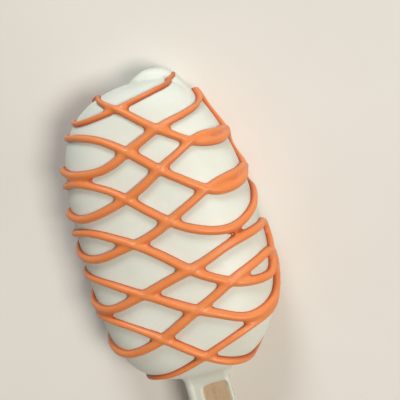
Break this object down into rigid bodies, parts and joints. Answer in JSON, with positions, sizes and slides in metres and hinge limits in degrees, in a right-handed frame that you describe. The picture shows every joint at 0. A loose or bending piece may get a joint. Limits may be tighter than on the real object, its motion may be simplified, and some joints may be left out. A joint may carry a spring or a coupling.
{
  "type": "cakesicle",
  "caption": "Oval cake on a flat wooden stick, dipped in a smooth white coating and decorated with a zigzag line of orange icing.",
  "frame": {"origin": "on the flat back that the cakesicle lies on, under the middle of the cake", "axes": "+Z out of the decorated front, +Y along the stick towards the rounded crown, +X to the right of a person who looks at the front with the crown up"},
  "size_m": [0.0552, 0.15, 0.0287],
  "materials": {
    "white_coating": "smooth set white chocolate coating with a soft satin sheen",
    "stick_wood": "bare pale birch, fine grain, matte",
    "orange_icing": "set orange piping chocolate, satin"
  },
  "bodies": {
    "root": {"coated_cake": "white_coating", "wooden_stick": "stick_wood", "piped_icing": "orange_icing"}
  },
  "joints": []
}
